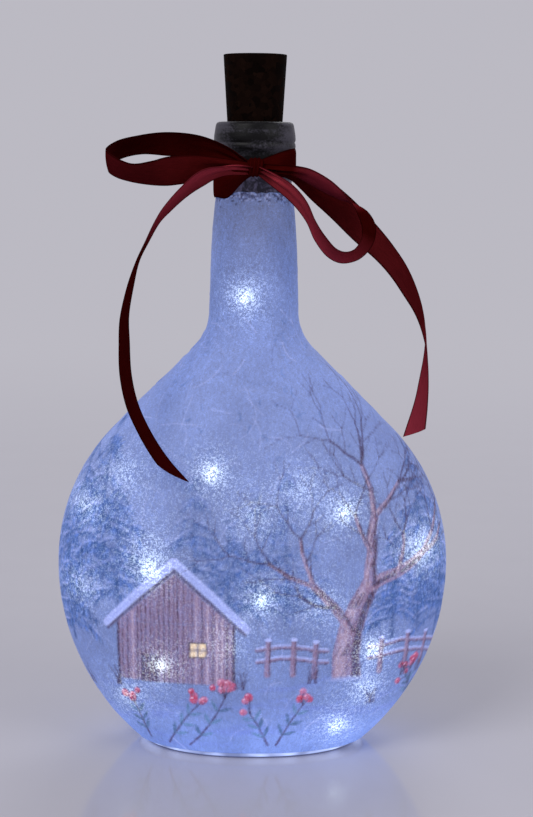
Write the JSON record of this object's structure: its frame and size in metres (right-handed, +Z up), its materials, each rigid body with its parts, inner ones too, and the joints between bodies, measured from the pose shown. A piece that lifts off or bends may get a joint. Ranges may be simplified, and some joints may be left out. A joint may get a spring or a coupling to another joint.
{
  "type": "bottle lamp",
  "caption": "Flat round glass bottle dressed in rice paper, with a string of small lights inside, a cork stopper holding cells and switch, and a ribbon bow on the neck.",
  "frame": {"origin": "centre of the base, on the surface that the lamp stands on", "axes": "+Z up along the neck, -Y out of the printed front, +X to the right seen from the front"},
  "size_m": [0.1422, 0.0751, 0.25],
  "materials": {
    "frosted_glass": "clear bottle glass with a frosted skin on the mouth and neck",
    "rice_paper": "thin crinkled paper, varnished matt",
    "satin_ribbon": "dark red satin",
    "copper_wire": "clear enamel over copper",
    "dark_cork": "stained cork, matt",
    "black_plastic": "moulded",
    "plated_steel": "nickel plate",
    "brass_contact": "stamped",
    "green_board": "solder mask",
    "resistor_body": "lacquer",
    "light_drop": "clear resin drop over a small light"
  },
  "bodies": {
    "bottle": {"glass_bottle": "frosted_glass", "front_paper": "rice_paper", "back_paper": "rice_paper", "neck_band": "satin_ribbon", "bow_knot": "satin_ribbon", "left_loop": "satin_ribbon", "right_loop": "satin_ribbon", "left_tail": "satin_ribbon", "right_tail": "satin_ribbon", "wire_coil": "copper_wire", "wire_lead": "copper_wire", "light_01": "light_drop", "light_02": "light_drop", "light_03": "light_drop", "light_04": "light_drop", "light_05": "light_drop", "light_06": "light_drop", "light_07": "light_drop", "light_08": "light_drop", "light_09": "light_drop", "light_10": "light_drop", "light_11": "light_drop", "light_12": "light_drop", "light_13": "light_drop", "light_14": "light_drop", "light_15": "light_drop", "light_16": "light_drop", "light_17": "light_drop", "light_18": "light_drop", "light_19": "light_drop", "light_20": "light_drop"},
    "cork": {"cork_shell": "dark_cork", "wire_outlet_bush": "black_plastic", "pigtail": "copper_wire"},
    "battery_tray": {"battery_tray": "black_plastic", "tray_cap": "dark_cork", "cell_1": "plated_steel", "cell_2": "plated_steel", "cell_3": "plated_steel", "top_contact": "brass_contact", "contact_strip": "brass_contact", "contact_spring": "plated_steel", "circuit_board": "green_board", "resistor": "resistor_body", "switch_frame": "plated_steel"},
    "switch_slider": {"switch_slider": "black_plastic"}
  },
  "joints": [
    {"name": "cork_pull", "type": "slide", "parent": "bottle", "child": "cork", "axis": [0, 0, 1], "range_m": [0, 0.03], "deforming": ["wire_lead"]},
    {"name": "tray_pull", "type": "slide", "parent": "cork", "child": "battery_tray", "axis": [0, 0, 1], "range_m": [0, 0.03], "deforming": ["pigtail"]},
    {"name": "switch_slide", "type": "slide", "parent": "battery_tray", "child": "switch_slider", "axis": [1, 0, 0], "range_m": [-0.0025, 0]}
  ]
}
